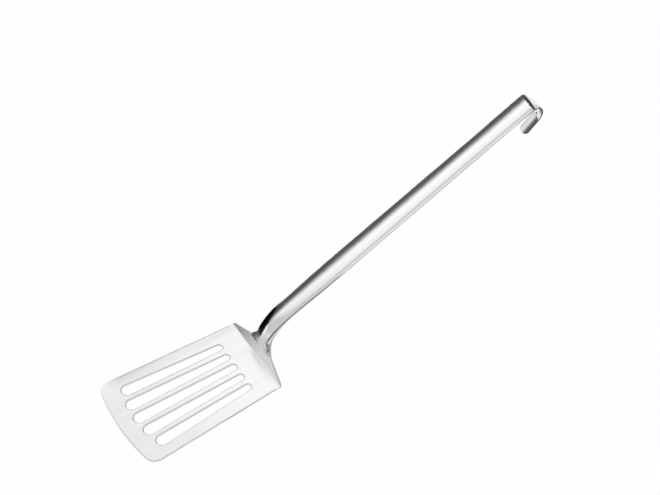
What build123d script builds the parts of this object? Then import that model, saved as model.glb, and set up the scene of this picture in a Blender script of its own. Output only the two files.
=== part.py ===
"""Fish spatula: a slotted sheet blade with an upturned heel, and a hollow handle that ends in a hook.

Millimetres, +Z up. The blade lies flat with its underside on Z = 0, the handle rises towards +X,
and the whole tool is symmetric about Y = 0.
"""

from build123d import *

import os
from math import cos, radians, tan

# Sheets, walls and the reach of cutting tools past what they cut
blade_sheet = 1.5
back_sheet = 1.5
shell_wall = 1.2
cut_overrun = 4.0

# Blade, seen from above
heel_setback = 8.0
blade_length = 122.0
heel_width = 69.2
front_width = 82.6
front_edge_radius = 162.0
front_corner_radius = 9.5
blade_edge_round = 1.0

# Slots: a fan that widens towards the front
slot_count = 5
slot_rear_pitch = 10.6
slot_front_pitch = 13.1
slot_rear_width = 5.2
slot_front_width = 8.8
slot_rear_land = 18.4
slot_front_land = 13.2
slot_tip_arc_radius = 75.0
slot_edge_round = 1.2

# Heel flange, which rises from the blade, and the tab that its top edges run up to
heel_bend_radius = 1.5
flange_end_inset = 2.3
flange_end_height = 1.5
flange_end_round = 2.0
flange_slope = 23.4
flange_tab_round = 18.0
tab_width = 13.6
tab_length = 34.0
tab_end_round = 4.5

# Route of the handle's underside: up the flange, round the neck's bend and along the grip
neck_angle = 65.5
neck_length = 36.5
neck_bend_radius = 40.0
handle_angle = 26.1
handle_length = 256.6
handle_start = 11.2

# Width of the handle, with the grip's swell as shares of its length and of its gain in width
neck_width = 15.4
grip_width = 17.2
grip_end_width = 15.9
grip_station_shares = (0.0, 0.06, 0.12, 0.19, 0.27, 0.45, 0.64, 0.82, 1.0)
grip_swell_shares = (0.0, 0.12, 0.55, 0.9, 1.0, 1.0, 1.0, 1.0, 1.0)

# Domed cover
dome_height = 3.7
crown_rise = 1.7
dome_corner_round = 2.6
shell_end_round = 2.2
shell_end_reach = -0.2

# Foot of the handle on the flange: a low end that spreads, then draws in to the neck
foot_station_shares = (0.0, 0.3, 0.65, 1.0)
foot_width_shares = (1.55, 1.46, 1.12, 1.0)
foot_height_shares = (0.3, 0.62, 0.9, 1.0)

# Hook: a tight bend at the grip's end, a narrowed tongue, and the curl back under the grip
hook_bend_radius = 1.5
hook_bend_turn = 75.8
hook_drop = 20.8
curl_radius = 10.5
curl_turn = 86.6
hook_tail = 25.2
tongue_width = 8.6
shoulder_drop = 2.0
shoulder_round = 2.5
taper_drop = 8.5
taper_round = 6.0
hook_tip_round = 3.6

# Spot welds that join the tab to the strip
weld_count = 3
weld_first = 14.5
weld_pitch = 5.5
weld_radius = 2.4
weld_depth = 0.8


def stride(start, length, angle):
    """Point of the side view at a distance and a direction from another."""
    return start + Vector(length, 0).rotate(Axis.Z, angle)


def beside(corner, angle_in, angle_out, distance):
    """Corner of a route that runs parallel to another, at a distance to its left."""
    half_turn = radians(angle_out - angle_in) / 2
    return stride(corner, distance / cos(half_turn), (angle_in + angle_out) / 2 + 90)


def sheet_plane(point, angle):
    """Plane on a sheet that rises at an angle: local x lies across the tool, local y up the sheet."""
    out = Vector(1, 0, 0).rotate(Axis.Y, -angle - 90)
    return Plane(origin=(point.X, 0, point.Y), x_dir=(0, -1, 0), z_dir=out)


def cross_plane(point, angle):
    """Plane square to a route that rises at an angle: local y points out of the sheet."""
    along = Vector(1, 0, 0).rotate(Axis.Y, -angle)
    return Plane(origin=(point.X, 0, point.Y), x_dir=(0, 1, 0), z_dir=along)


# Corners of the underside's route in the side view
heel = Vector(heel_setback, blade_sheet)
neck_corner = stride(heel, neck_length, neck_angle)
hook_corner = stride(neck_corner, handle_length, handle_angle)
drop_angle = handle_angle - hook_bend_turn
tail_angle = drop_angle - curl_turn
curl_corner = stride(hook_corner, hook_drop, drop_angle)
tail_end = stride(curl_corner, hook_tail, tail_angle)
neck_run = neck_bend_radius * tan(radians(neck_angle - handle_angle) / 2)
hook_run = hook_bend_radius * tan(radians(hook_bend_turn) / 2)

# Foot: from the handle's lower end to the neck's bend. Grip: from there to the hook's bend
handle_foot = stride(heel, handle_start, neck_angle)
bend_start = stride(neck_corner, -neck_run, neck_angle)
grip_start = stride(neck_corner, neck_run, handle_angle)
foot_length = neck_length - neck_run - handle_start
grip_length = handle_length - neck_run - hook_run
foot_reaches = [foot_length * share for share in foot_station_shares]
foot_half_widths = [neck_width / 2 * share for share in foot_width_shares]
grip_reaches = [grip_length * share for share in grip_station_shares]


def grip_half_width(station):
    """Half the width at one station: it swells from the neck, then narrows slowly to the end."""
    full = grip_width + (grip_end_width - grip_width) * grip_station_shares[station]
    return (neck_width + (full - neck_width) * grip_swell_shares[station]) / 2


grip_half_widths = [grip_half_width(station) for station in range(len(grip_station_shares))]

# Spot welds: short nuggets across the seam between the tab and the strip
flange_plane = sheet_plane(heel, neck_angle)
weld_places = [(0, weld_first + weld_pitch * i) for i in range(weld_count)]
with BuildPart() as spot_welds:
    with BuildSketch(flange_plane):
        with Locations(*weld_places):
            Circle(weld_radius)
    extrude(amount=weld_depth, both=True)

# Heel flange and tab: a bent strip, trimmed to the flange's outline
tab_middle = -blade_sheet / 2
tab_reach = stride(grip_start, cut_overrun, handle_angle)
half_heel = heel_width / 2
half_tab = tab_width / 2
half_flange = half_heel - flange_end_inset
flange_height = flange_end_height + (half_flange - half_tab) * tan(radians(flange_slope))
with BuildPart() as heel_strip:
    with BuildSketch(Plane.XZ):
        with BuildLine():
            FilletPolyline(
                beside(stride(heel, -cut_overrun, 0), 0, 0, tab_middle),
                beside(heel, 0, neck_angle, tab_middle),
                beside(neck_corner, neck_angle, handle_angle, tab_middle),
                beside(tab_reach, handle_angle, handle_angle, tab_middle),
                radius=[heel_bend_radius - tab_middle, neck_bend_radius + tab_middle],
            )
        trace(line_width=blade_sheet)
    extrude(amount=half_heel, both=True)

    with BuildSketch(flange_plane):
        with BuildLine():
            Polyline(
                (-half_tab, tab_length), (-half_tab, flange_height), (-half_flange, flange_end_height),
                (-half_heel, 0), (-half_heel, -cut_overrun * 2), (half_heel, -cut_overrun * 2),
                (half_heel, 0), (half_flange, flange_end_height), (half_tab, flange_height),
                (half_tab, tab_length), close=True,
            )
        make_face()
        fillet(vertices().group_by(Axis.Y)[-3], flange_end_round)
        fillet(vertices().group_by(Axis.Y)[-2], flange_tab_round)
        fillet(vertices().group_by(Axis.Y)[-1], tab_end_round)
    extrude(amount=neck_bend_radius, both=True, mode=Mode.INTERSECT)

# Blade: a trapezoid with a curved front, five fanned slots, and the heel strip
front_x = heel_setback - blade_length
corner_x = front_x + front_edge_radius - (front_edge_radius**2 - (front_width / 2) ** 2) ** 0.5
rear_x = heel_setback - (heel_bend_radius + blade_sheet) * tan(radians(neck_angle) / 2)
with BuildPart() as slotted_blade:
    with BuildSketch():
        with BuildLine():
            Polyline(
                (corner_x, -front_width / 2), (rear_x, -half_heel), (rear_x, half_heel),
                (corner_x, front_width / 2),
            )
            ThreePointArc((corner_x, -front_width / 2), (front_x, 0), (corner_x, front_width / 2))
        make_face()
        fillet(vertices().group_by(Axis.X)[0], front_corner_radius)
    extrude(amount=blade_sheet)
    rim = slotted_blade.faces().sort_by(Axis.Z)[-1].edges().sort_by(Axis.X)[:-1]
    fillet(rim, blade_edge_round)
    add(heel_strip.part)

    for place in range(slot_count):
        lane = place - (slot_count - 1) / 2
        rear_y = lane * slot_rear_pitch
        front_y = lane * slot_front_pitch
        tip_bow = front_y**2 / (2 * slot_tip_arc_radius)
        with BuildSketch():
            with Locations((heel_setback - slot_rear_land - slot_rear_width / 2, rear_y)):
                Circle(slot_rear_width / 2)
            with Locations((front_x + slot_front_land + slot_front_width / 2 + tip_bow, front_y)):
                Circle(slot_front_width / 2)
            make_hull()
        extrude(amount=blade_sheet, mode=Mode.SUBTRACT)

    top = slotted_blade.faces().filter_by(Axis.Z).sort_by(Axis.Z)[-1]
    fillet([edge for wire in top.inner_wires() for edge in wire.edges()], slot_edge_round)
    add(spot_welds.part, mode=Mode.SUBTRACT)

# Hook: a bent strip, trimmed to the tongue's outline
back_middle = back_sheet / 2
half_end = grip_end_width / 2
half_tongue = tongue_width / 2
tongue_reach = hook_drop + hook_tail
hook_lead = stride(hook_corner, -hook_run - cut_overrun, handle_angle)
drop_plane = sheet_plane(hook_corner, drop_angle)
tail_plane = sheet_plane(tail_end, tail_angle)
with BuildPart() as hook_strip:
    with BuildSketch(Plane.XZ):
        with BuildLine():
            FilletPolyline(
                beside(hook_lead, handle_angle, handle_angle, back_middle),
                beside(hook_corner, handle_angle, drop_angle, back_middle),
                beside(curl_corner, drop_angle, tail_angle, back_middle),
                beside(tail_end, tail_angle, tail_angle, back_middle),
                radius=[hook_bend_radius + back_middle, curl_radius + back_middle],
            )
        trace(line_width=back_sheet)
    extrude(amount=half_end, both=True)

    with BuildSketch(drop_plane):
        with BuildLine():
            Polyline(
                (-half_end, -tongue_reach), (-half_end, shoulder_drop), (-half_tongue, taper_drop),
                (-half_tongue, tongue_reach), (half_tongue, tongue_reach), (half_tongue, taper_drop),
                (half_end, shoulder_drop), (half_end, -tongue_reach), close=True,
            )
        make_face()
        fillet(vertices().group_by(Axis.Y)[1], shoulder_round)
        fillet(vertices().group_by(Axis.Y)[-2], taper_round)
    extrude(amount=tongue_reach, both=True, mode=Mode.INTERSECT)

    across_tail = Axis(tail_plane.origin, tail_plane.z_dir)
    tips = hook_strip.edges().filter_by(across_tail).sort_by_distance(tail_plane.origin)[:2]
    fillet(tips, hook_tip_round)


def strip_outline(start, angle, half_widths, reaches):
    """Outline of a length of the strip, with smooth sides through its stations."""
    with BuildSketch(sheet_plane(start, angle)) as outline:
        with BuildLine():
            right_side = Spline(*zip(half_widths, reaches))
            left_side = Spline(*[(-x, y) for x, y in zip(half_widths, reaches)])
            Line(left_side @ 0, right_side @ 0)
            Line(left_side @ 1, right_side @ 1)
        make_face()
    return outline.sketch


# Strip under the handle: the foot, the neck's bend, the grip's plate and the hook
foot_outline = strip_outline(handle_foot, neck_angle, foot_half_widths, foot_reaches)
grip_outline = strip_outline(grip_start, handle_angle, grip_half_widths, grip_reaches)
neck_lead = stride(handle_foot, foot_length / 2, neck_angle)
neck_lag = stride(grip_start, cut_overrun, handle_angle)
with BuildPart() as handle_back:
    with BuildSketch(Plane.XZ):
        with BuildLine():
            FilletPolyline(
                beside(neck_lead, neck_angle, neck_angle, back_middle),
                beside(neck_corner, neck_angle, handle_angle, back_middle),
                beside(neck_lag, handle_angle, handle_angle, back_middle),
                radius=neck_bend_radius + back_middle,
            )
        trace(line_width=back_sheet)
    extrude(amount=neck_width / 2, both=True)
    extrude(foot_outline, amount=back_sheet)
    extrude(grip_outline, amount=back_sheet)
    add(hook_strip.part)
    add(spot_welds.part, mode=Mode.SUBTRACT)

# Corners of the dome's seat on the strip
seat_radius = hook_bend_radius + back_sheet
seat_foot = beside(handle_foot, neck_angle, neck_angle, back_sheet)
seat_bend = beside(bend_start, neck_angle, neck_angle, back_sheet)
seat_neck = beside(neck_corner, neck_angle, handle_angle, back_sheet)
seat_grip = beside(grip_start, handle_angle, handle_angle, back_sheet)
seat_hook = beside(hook_corner, handle_angle, drop_angle, back_sheet)
seat_drop = beside(curl_corner, drop_angle, drop_angle, back_sheet)
outer_end = stride(seat_hook, shell_end_reach, handle_angle)
inner_end = stride(seat_hook, -seat_radius * tan(radians(hook_bend_turn) / 2), handle_angle)


def dome_section(point, angle, half_width, height, inset):
    """Cross-section of the dome, inset all round, with sides that run down past the seat."""
    side = half_width - inset
    crown = height - inset
    shoulder = crown - crown_rise * height / dome_height
    with BuildSketch(cross_plane(point, angle)) as section:
        with BuildLine():
            Polyline((-side, shoulder), (-side, -cut_overrun), (side, -cut_overrun), (side, shoulder))
            ThreePointArc((-side, shoulder), (0, crown), (side, shoulder))
        make_face()
        fillet(vertices().group_by(Axis.Y)[-1], dome_corner_round * height / dome_height - inset)
    return section.sketch


def dome_run(end, inset):
    """The dome over the neck's bend and the grip, inset all round, as a solid body."""
    route = Plane.XZ * FilletPolyline(seat_foot, seat_neck, end, radius=neck_bend_radius + back_sheet)
    bend = Wire([route.edges().sort_by(Axis.X)[1]])
    bend_section = dome_section(seat_bend, neck_angle, neck_width / 2, dome_height, inset)
    reaches = grip_reaches[:-1] + [(end - seat_grip).length]
    stations = [
        dome_section(stride(seat_grip, reach, handle_angle), handle_angle, half_width, dome_height, inset)
        for reach, half_width in zip(reaches, grip_half_widths)
    ]
    with BuildPart() as run:
        sweep(sections=bend_section, path=bend)
        loft(sections=stations)
    return run.part


def rounded_end(body, point, angle, radius):
    """The body with its end face at one point rounded off, apart from the edge under the seat."""
    plane = cross_plane(point, angle)
    cap = body.faces().sort_by_distance(plane.origin)[0]
    base = plane.from_local_coords((0, -cut_overrun))
    return fillet(cap.edges().sort_by_distance(base)[1:], radius)


# Domed cover: a low solid foot and a hollow shell closed at both ends, cut to its seat on the strip
foot_stations = [
    dome_section(stride(seat_foot, reach, neck_angle), neck_angle, half_width, dome_height * share, 0)
    for reach, half_width, share in zip(foot_reaches, foot_half_widths, foot_height_shares)
]
cavity = dome_run(inner_end, shell_wall)
cavity = rounded_end(cavity, seat_bend, neck_angle, shell_end_round - shell_wall)
cavity = rounded_end(cavity, inner_end, handle_angle, shell_end_round - shell_wall)
outer_dome = dome_run(outer_end, 0) + loft(sections=foot_stations)
outer_dome = rounded_end(outer_dome, outer_end, handle_angle, shell_end_round)
with BuildPart() as handle_shell:
    add(outer_dome)
    add(cavity, mode=Mode.SUBTRACT)
    with BuildSketch(Plane.XZ):
        with BuildLine():
            below = stride(seat_foot, -neck_length, neck_angle)
            FilletPolyline(
                below, seat_neck, seat_hook, seat_drop, radius=[neck_bend_radius + back_sheet, seat_radius]
            )
            Line(seat_drop, below)
        make_face()
    extrude(amount=grip_width, both=True, mode=Mode.SUBTRACT)

os.makedirs("parts", exist_ok=True)
slotted_blade.part.label = "slotted_blade"
export_step(slotted_blade.part, "parts/slotted_blade.step")
handle_back.part.label = "handle_back"
export_step(handle_back.part, "parts/handle_back.step")
handle_shell.part.label = "handle_shell"
export_step(handle_shell.part, "parts/handle_shell.step")
spot_welds.part.label = "spot_welds"
export_step(spot_welds.part, "parts/spot_welds.step")
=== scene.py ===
"""Looks of the fish spatula: satin blade, polished handle and hook, on a white floor."""

from math import radians

import bpy
from mathutils import Matrix, Vector

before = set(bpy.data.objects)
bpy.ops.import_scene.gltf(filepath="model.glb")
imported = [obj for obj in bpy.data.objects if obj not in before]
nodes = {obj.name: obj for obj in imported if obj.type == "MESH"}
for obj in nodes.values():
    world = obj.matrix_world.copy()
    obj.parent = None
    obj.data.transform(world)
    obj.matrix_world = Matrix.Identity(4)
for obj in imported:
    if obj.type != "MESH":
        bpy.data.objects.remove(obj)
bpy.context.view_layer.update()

# Camera: the photograph's, as an aim point, the way back to the camera, its distance in metres, its
# roll in degrees, and a long lens
AIM = Vector((0.0875, 0.0192, 0.0614))
BACK = Vector((-0.3035, -0.4810, 0.8225))
DISTANCE = 2.2
ROLL = -0.28
LENS = 156.9
SENSOR_WIDTH = 36.0
CLIP_END = 24.0

# Studio light by direction: a pale room, a soft key light high up, dark drapes low behind the tool and
# on its left, and one more beyond the hook. Each pair is where a light or a drape begins and ends
WHITE = (1.0, 1.0, 1.0, 1.0)
ROOM_LEVEL = 0.77
KEY_LEVEL = 1.24
KEY_WAY = Vector((-0.08, 0.598, 0.797))
KEY_FROM, KEY_TO = 0.40, 0.95
DARK_LEVEL = 0.11
BEHIND_FROM, BEHIND_TO = 0.36, 0.76
LEFT_FROM, LEFT_TO = -0.15, 0.20
LOW_FROM, LOW_TO = 0.30, 0.55
END_WAY = Vector((0.87, 0.47, 0.15))
END_FROM, END_TO = 0.70, 0.85

# Floor: its width, the share of it that is plain white light to the camera and in reflections, and the
# colour of the rest, which shadows fall on
FLOOR_SPAN = 12.0
FLOOR_WHITE = 0.975
FLOOR_COLOUR = (0.9, 0.9, 0.9, 1.0)

# Cards that stand or lie on the floor round the neck, seen only in reflections. Each has its ends along
# X, along Y and along Z, and its level of light
LYING = (0.0005, 0.0005)
BLACK = 0.0
CARDS = {
    "near_card": ((-0.090, 0.035), (0.060, 0.060), (0.0, 0.032), BLACK),
    "far_card": ((-0.220, 0.0), (0.160, 0.160), (0.0, 0.080), BLACK),
    "flat_card": ((0.012, 0.090), (0.005, 0.062), LYING, BLACK),
    "side_card": ((-0.065, 0.012), (0.0365, 0.062), LYING, BLACK),
    "right_card": ((-0.040, 0.100), (-0.110, -0.037), LYING, 0.2),
    "white_card": ((-0.260, -0.090), (0.070, 0.070), (0.0, 0.050), 1.4),
}

# Every steel: the readings of noise that count as none and all of it, the scale of the clouds in the
# tint, the shares of the tint that clouds and place take, and the grain's detail and strength. The
# share by place is a tint along X, painted shade on the blade, the handle and the hook's tail
NOISE_FROM, NOISE_TO = 0.3, 0.7
CLOUD_SCALE = 18.0
CLOUD_SHARE = 0.2
PLACE_SHARE = 0.8
GRAIN_DETAIL = 6.0
GRAIN_STRENGTH = 0.25

# Grains: scale, stretch along X, Y and Z, and height in metres
BRUSHED = (160.0, (0.08, 1.0, 1.0), 0.00002)
POLISHED = (90.0, (0.3, 1.0, 1.0), 0.00001)
CUT = (300.0, (1.0, 1.0, 0.2), 0.00002)
END_GRAIN = (300.0, (1.0, 1.0, 1.0), 0.00001)

# A stretch of X for a tint that changes over the whole of a piece
WHOLE = (-0.1, 0.2)

# Sockets of a mix node, whose names repeat: both inputs and the output, for numbers and for colours
MIX_SOCKETS = {"FLOAT": (2, 3, 0), "RGBA": (6, 7, 2)}

# Sheet edges: a face is on one where it turns this far sideways, or off the level within the blade's
# sheet. The shell's upper end, painted near black as painted shade: a face is on it, up at the hook,
# where it turns this far along the handle
SIDE_TURN = 0.3
LEVEL_TURN = 0.95
BLADE_TOP = 0.0016
SHADED_END_FROM = 0.2
SHADED_END_TURN = 0.1
HANDLE_WAY = Vector((0.898, 0.0, 0.440))


def link(tree, source, target):
    """Joins two sockets of a node tree."""
    tree.links.new(source, target)


def node(tree, kind, **settings):
    """A new node with its settings."""
    made = tree.nodes.new(kind)
    for name, value in settings.items():
        setattr(made, name, value)
    return made


def fill(tree, value, socket):
    """Gives an input its value: another node's output, or a plain number or colour."""
    if isinstance(value, bpy.types.NodeSocket):
        link(tree, value, socket)
    else:
        socket.default_value = value


def maths(tree, operation, first, second):
    """The result of one sum. Each input is a socket or a number."""
    made = node(tree, "ShaderNodeMath", operation=operation)
    for socket, value in zip(made.inputs, (first, second)):
        fill(tree, value, socket)
    return made.outputs[0]


def blend(tree, kind, share, first, second):
    """A mix of two numbers or two colours: the first where share is 0, the second where it is 1."""
    made = node(tree, "ShaderNodeMix", data_type=kind)
    start, end, out = MIX_SOCKETS[kind]
    link(tree, share, made.inputs[0])
    fill(tree, first, made.inputs[start])
    fill(tree, second, made.inputs[end])
    return made.outputs[out]


def ramp(tree, value, start, end, low=0.0, high=1.0, kind="SMOOTHSTEP"):
    """A value that runs from one level to another between two readings."""
    span = node(tree, "ShaderNodeMapRange", interpolation_type=kind)
    for name, level in (("From Min", start), ("From Max", end), ("To Min", low), ("To Max", high)):
        span.inputs[name].default_value = level
    link(tree, value, span.inputs["Value"])
    return span.outputs["Result"]


def place(tree, kind="Object"):
    """Coordinates: the object's own, or in a world the direction as Generated."""
    return node(tree, "ShaderNodeTexCoord").outputs[kind]


def axes(tree, vector):
    """A vector's parts along X, Y and Z."""
    split = node(tree, "ShaderNodeSeparateXYZ")
    link(tree, vector, split.inputs[0])
    return split.outputs


def noise(tree, scale, stretch=(1.0, 1.0, 1.0), detail=4.0):
    """Noise on the object's own coordinates, stretched along its axes. Returns its grey output."""
    mapping = node(tree, "ShaderNodeMapping")
    mapping.inputs["Scale"].default_value = stretch
    texture = node(tree, "ShaderNodeTexNoise")
    texture.inputs["Scale"].default_value = scale
    texture.inputs["Detail"].default_value = detail
    link(tree, place(tree), mapping.inputs["Vector"])
    link(tree, mapping.outputs["Vector"], texture.inputs["Vector"])
    return texture.outputs["Fac"]


def noise_range(tree, value, low, high):
    """A noise's grey as a level between two others."""
    return ramp(tree, value, NOISE_FROM, NOISE_TO, low, high, "LINEAR")


def along(tree, start, end, low, high):
    """A value that runs from one level to another along X."""
    return ramp(tree, axes(tree, place(tree))["X"], start, end, low, high)


def bump(tree, height, strength=1.0, distance=1.0, normal=None):
    """Normals of a surface that rises with a height, on top of other normals if there are any."""
    made = node(tree, "ShaderNodeBump")
    made.inputs["Strength"].default_value = strength
    made.inputs["Distance"].default_value = distance
    link(tree, height, made.inputs["Height"])
    if normal is not None:
        link(tree, normal, made.inputs["Normal"])
    return made.outputs["Normal"]


def swell(tree, start, end, first, last):
    """Normals of a swell or a hollow across Y, whose depth runs from one amount to another along X."""
    parts = axes(tree, place(tree))
    squared = maths(tree, "MULTIPLY", parts["Y"], parts["Y"])
    fade = ramp(tree, parts["X"], start, end, first, last)
    return bump(tree, maths(tree, "MULTIPLY", squared, fade))


def steel(name, dark, pale, rough, grain, shade, rub=None, crown=None, metallic=1.0):
    """Steel with a cloudy tint, a grain in its roughness and a fine bump.

    rough is the range of roughness. shade and rub are stretches of X: the tint goes from dark to pale
    over the first, which is painted shade where a piece darkens towards one end. rub also has the extra
    roughness at its start, which is gone at its end. crown is a stretch of X, with the depth of a swell
    across the metal at its two ends: below 0 the middle stands proud, above 0 it is dished.
    """
    material = bpy.data.materials.new(name)
    material.use_nodes = True
    tree = material.node_tree
    shader = tree.nodes["Principled BSDF"]
    shader.inputs["Metallic"].default_value = metallic
    cloud = noise_range(tree, noise(tree, CLOUD_SCALE), 0.0, CLOUD_SHARE)
    # The tint by place along X is painted shade on the blade, the handle and the hook's tail
    share = maths(tree, "ADD", cloud, along(tree, *shade, 0.0, PLACE_SHARE))
    link(tree, blend(tree, "RGBA", share, (*dark, 1.0), (*pale, 1.0)), shader.inputs["Base Color"])
    scale, stretch, height = grain
    streaks = noise(tree, scale, stretch, GRAIN_DETAIL)
    roughness = noise_range(tree, streaks, *rough)
    if rub:
        roughness = maths(tree, "ADD", roughness, along(tree, *rub, 0.0))
    link(tree, roughness, shader.inputs["Roughness"])
    base = swell(tree, *crown) if crown else None
    link(tree, bump(tree, streaks, GRAIN_STRENGTH, height, base), shader.inputs["Normal"])
    return material


def blade_part(face):
    """Which of the blade's materials a face takes: 0 the sheet, 1 an edge, 2 an edge that faces +Y.

    The edges that face +Y take a pale, near matte steel: painted light.
    """
    in_blade = face.center.z < BLADE_TOP and abs(face.normal.z) < LEVEL_TURN
    if not in_blade and abs(face.normal.y) < SIDE_TURN:
        return 0
    return 2 if face.normal.y > 0 else 1


def strip_part(face):
    """Which of the strip's materials a face takes: 0 on the sheet, 1 on its cut edges."""
    return int(abs(face.normal.y) > SIDE_TURN)


def shell_part(face):
    """Which of the shell's materials a face takes: 0 on the dome, 1 on its upper end, in painted shade.
    """
    return int(face.center.x > SHADED_END_FROM and face.normal.dot(HANDLE_WAY) > SHADED_END_TURN)


def finish_node(name, *materials, part=None):
    """Gives a CAD node its material, or several, by a rule that names one for each face."""
    mesh = nodes[name].data
    mesh.materials.clear()
    for material in materials:
        mesh.materials.append(material)
    for face in mesh.polygons:
        face.material_index = part(face) if part else 0


# Painted shade: the blade's tint darkens towards its front, along X
satin = steel(
    "satin_steel_looks", dark=(0.70, 0.70, 0.695), pale=(0.84, 0.84, 0.835), rough=(0.26, 0.34),
    grain=BRUSHED, shade=(-0.13, 0.0),
)
# Painted shade: the shell's tint darkens towards the neck, along X
polish = steel(
    "polished_steel_looks", dark=(0.72, 0.72, 0.715), pale=(0.82, 0.82, 0.815), rough=(0.13, 0.18),
    grain=POLISHED, shade=(0.03, 0.11), rub=(0.008, 0.02, 0.08), crown=(0.012, 0.045, -26.0, 0.0),
)
# Painted shade: the handle back's tint darkens a little towards the neck, along X
tongue = steel(
    "polished_tongue_looks", dark=(0.79, 0.79, 0.785), pale=(0.82, 0.82, 0.815), rough=(0.13, 0.18),
    grain=POLISHED, shade=(0.01, 0.11), crown=(0.234, 0.243, 0.0, 36.0),
)
rolled_edge = steel(
    "rolled_edge_looks", dark=(0.70, 0.70, 0.695), pale=(0.78, 0.78, 0.775), rough=(0.50, 0.60),
    grain=CUT, shade=WHOLE,
)
# Painted shade: the handle back's cut edges turn near black along X on the hook's tail
cut_edge_and_tail_shade = steel(
    "cut_edge_looks", dark=(0.60, 0.60, 0.595), pale=(0.06, 0.06, 0.06), rough=(0.42, 0.52),
    grain=CUT, shade=(0.232, 0.246),
)
# Painted light: the blade's edges that face +Y are pale and near matte, the others darker steel
lit_blade_edge = steel(
    "pale_edge_looks", dark=(0.86, 0.86, 0.855), pale=(0.92, 0.92, 0.915), rough=(0.60, 0.70),
    grain=CUT, shade=WHOLE, metallic=0.1,
)
# Painted shade: the shell's upper end at the hook is near black
shaded_end = steel(
    "painted_end_shade_looks", dark=(0.05, 0.05, 0.05), pale=(0.07, 0.07, 0.07), rough=(0.22, 0.30),
    grain=END_GRAIN, shade=WHOLE,
)
finish_node("slotted_blade", satin, rolled_edge, lit_blade_edge, part=blade_part)
finish_node("spot_welds", satin)
finish_node("handle_back", tongue, cut_edge_and_tail_shade, part=strip_part)
finish_node("handle_shell", polish, shaded_end, part=shell_part)


def panel(name, corners, material):
    """A flat four-sided piece of the studio."""
    mesh = bpy.data.meshes.new(name)
    mesh.from_pydata(corners, [], [(0, 1, 2, 3)])
    mesh.materials.append(material)
    made = bpy.data.objects.new(name, mesh)
    bpy.context.scene.collection.objects.link(made)
    return made


def plain_material(name):
    """An empty material, its tree and its output."""
    material = bpy.data.materials.new(name)
    material.use_nodes = True
    tree = material.node_tree
    tree.nodes.clear()
    return material, tree, node(tree, "ShaderNodeOutputMaterial")


def floor_material():
    """White floor that keeps a faint shadow, and that shows white in reflections too."""
    material, tree, out = plain_material("floor_white")
    matt = node(tree, "ShaderNodeBsdfDiffuse")
    matt.inputs["Color"].default_value = FLOOR_COLOUR
    glow = node(tree, "ShaderNodeEmission")
    path = node(tree, "ShaderNodeLightPath")
    mix = node(tree, "ShaderNodeMixShader")
    seen = maths(tree, "MAXIMUM", path.outputs["Is Camera Ray"], path.outputs["Is Glossy Ray"])
    sources = (maths(tree, "MULTIPLY", seen, FLOOR_WHITE), matt.outputs[0], glow.outputs[0])
    for source, target in zip(sources, mix.inputs):
        link(tree, source, target)
    link(tree, mix.outputs[0], out.inputs["Surface"])
    return material


def card_material(name, level):
    """An even level of light, down to black."""
    material, tree, out = plain_material(name)
    glow = node(tree, "ShaderNodeEmission")
    glow.inputs["Strength"].default_value = level
    link(tree, glow.outputs[0], out.inputs["Surface"])
    return material


half_span = FLOOR_SPAN / 2
floor_corners = [(x * half_span, y * half_span, 0.0) for x, y in ((-1, -1), (1, -1), (1, 1), (-1, 1))]
panel("floor", floor_corners, floor_material())
for name, (across, deep, high, level) in CARDS.items():
    near, far = (deep[0], high[0]), (deep[1], high[1])
    corners = [(across[0], *near), (across[1], *near), (across[1], *far), (across[0], *far)]
    card = panel(name, corners, card_material(name + "_light", level))
    card.visible_camera = False
    card.visible_shadow = False
    card.visible_diffuse = False


def facing(tree, way, aim):
    """How far one direction points along another: 1 where they agree."""
    dot = node(tree, "ShaderNodeVectorMath", operation="DOT_PRODUCT")
    dot.inputs[1].default_value = aim
    link(tree, way, dot.inputs[0])
    return dot.outputs["Value"]


def room():
    """The studio as a world: the level of light in each direction, and white to the camera."""
    world = bpy.data.worlds.new("room")
    bpy.context.scene.world = world
    world.use_nodes = True
    tree = world.node_tree
    tree.nodes.clear()
    way = place(tree, "Generated")
    parts = axes(tree, way)
    pale = ramp(tree, facing(tree, way, KEY_WAY), KEY_FROM, KEY_TO, ROOM_LEVEL, KEY_LEVEL)
    behind = ramp(tree, parts["Y"], BEHIND_FROM, BEHIND_TO)
    left = ramp(tree, parts["X"], LEFT_FROM, LEFT_TO, 1.0, 0.0)
    low = ramp(tree, parts["Z"], LOW_FROM, LOW_TO, 1.0, 0.0)
    drape = maths(tree, "MULTIPLY", behind, maths(tree, "MAXIMUM", left, low))
    end = ramp(tree, facing(tree, way, END_WAY), END_FROM, END_TO)
    level = blend(tree, "FLOAT", maths(tree, "MAXIMUM", drape, end), pale, DARK_LEVEL)
    to_camera = node(tree, "ShaderNodeLightPath").outputs["Is Camera Ray"]
    background = node(tree, "ShaderNodeBackground")
    background.inputs["Color"].default_value = WHITE
    out = node(tree, "ShaderNodeOutputWorld")
    link(tree, blend(tree, "FLOAT", to_camera, level, 1.0), background.inputs["Strength"])
    link(tree, background.outputs[0], out.inputs["Surface"])


room()

camera = bpy.data.objects.new("camera", bpy.data.cameras.new("camera"))
camera.data.sensor_width = SENSOR_WIDTH
camera.data.lens = LENS
camera.data.clip_end = CLIP_END
BACK.normalize()
camera.matrix_world = (
    Matrix.Translation(AIM + BACK * DISTANCE)
    @ BACK.to_track_quat("Z", "Y").to_matrix().to_4x4()
    @ Matrix.Rotation(radians(ROLL), 4, "Z")
)
bpy.context.scene.collection.objects.link(camera)
bpy.context.scene.camera = camera
bpy.context.scene.view_settings.view_transform = "Standard"
